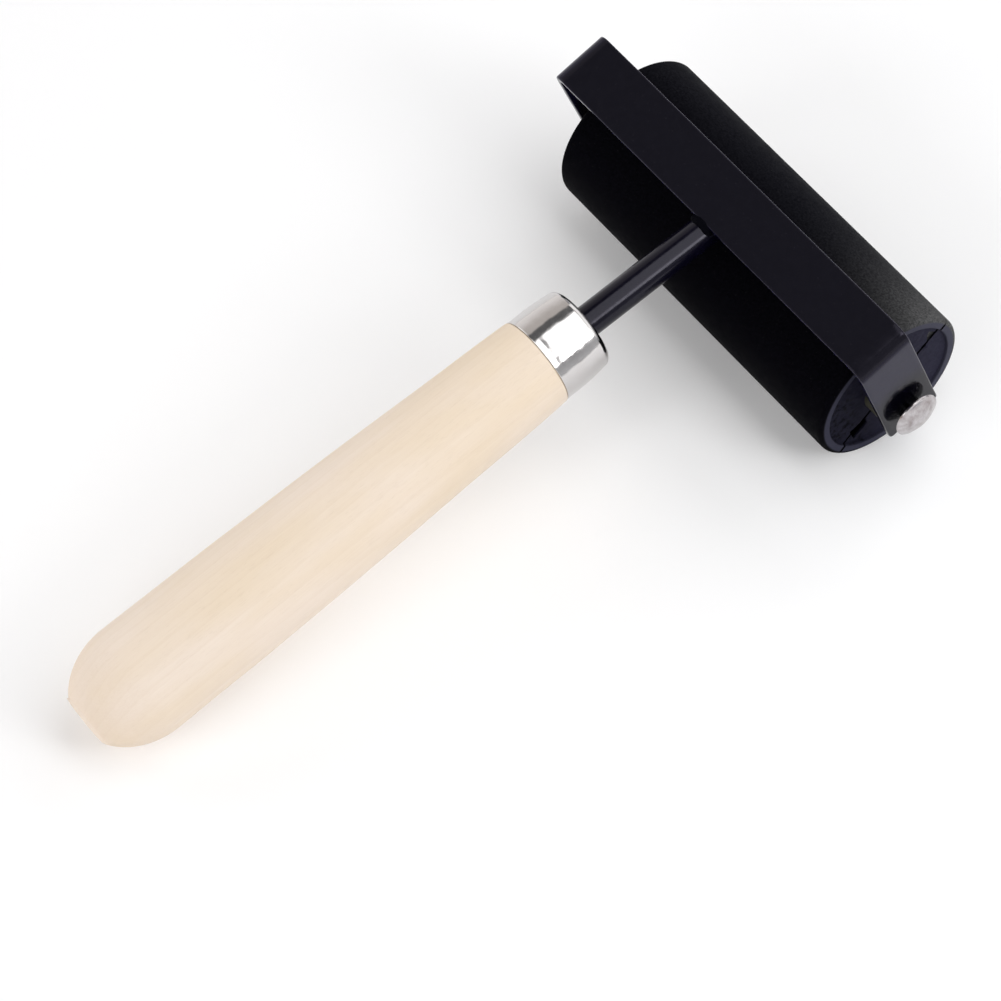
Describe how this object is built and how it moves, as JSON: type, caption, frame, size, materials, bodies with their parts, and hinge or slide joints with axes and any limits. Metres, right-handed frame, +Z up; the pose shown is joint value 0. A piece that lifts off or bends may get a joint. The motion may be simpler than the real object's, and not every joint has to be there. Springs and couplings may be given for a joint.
{
  "type": "rubber brayer",
  "caption": "Hand brayer: a rubber roller turning in a bent steel strap, with a rod and a turned wooden handle, lying on its roller and handle end.",
  "frame": {"origin": "middle of the footprint, on the table that the roller and the handle's end rest on", "axes": "+Z up from the table, X along the roller's axis with the rivet's head at +X, handle towards -Y"},
  "size_m": [0.124, 0.2246, 0.0546],
  "materials": {
    "wood": "bare sanded pale hardwood",
    "nickel": "bright nickel plate",
    "nickel_satin": "satin nickel plate",
    "steel": "bare turned steel",
    "gloss_black_paint": "gloss black paint",
    "satin_black_paint": "satin black paint",
    "rubber": "ground matte rubber",
    "nylon": "natural white nylon"
  },
  "bodies": {
    "frame": {"handle": "wood", "ferrule": "nickel", "shank_rod": "gloss_black_paint", "strap_frame": "satin_black_paint", "weld_edge_bead": "satin_black_paint", "weld_fillet_near": "satin_black_paint", "weld_fillet_far": "satin_black_paint"},
    "thrust_washers": {"thrust_washer_near": "steel", "thrust_washer_far": "steel"},
    "roller": {"rubber_roller": "rubber", "core_tube": "nylon", "bush_near": "nylon", "bush_far": "nylon"},
    "rivet_washer": {"peen_washer": "nickel_satin"},
    "rivet": {"axle_rivet": "nickel_satin"}
  },
  "joints": [
    {"name": "roller_float", "type": "slide", "parent": "frame", "child": "thrust_washers", "axis": [1, 0, 0], "range_m": [-0.0009, 0.0009]},
    {"name": "roller_spin", "type": "hinge", "parent": "thrust_washers", "child": "roller", "pos_m": [-0.0007, 0.09086, 0.0214], "axis": [1, 0, 0], "continuous": true},
    {"name": "rivet_float", "type": "slide", "parent": "frame", "child": "rivet_washer", "axis": [1, 0, 0], "range_m": [-0.0021, 0]},
    {"name": "rivet_turn", "type": "hinge", "parent": "rivet_washer", "child": "rivet", "pos_m": [-0.0007, 0.09086, 0.0214], "axis": [1, 0, 0], "continuous": true}
  ]
}
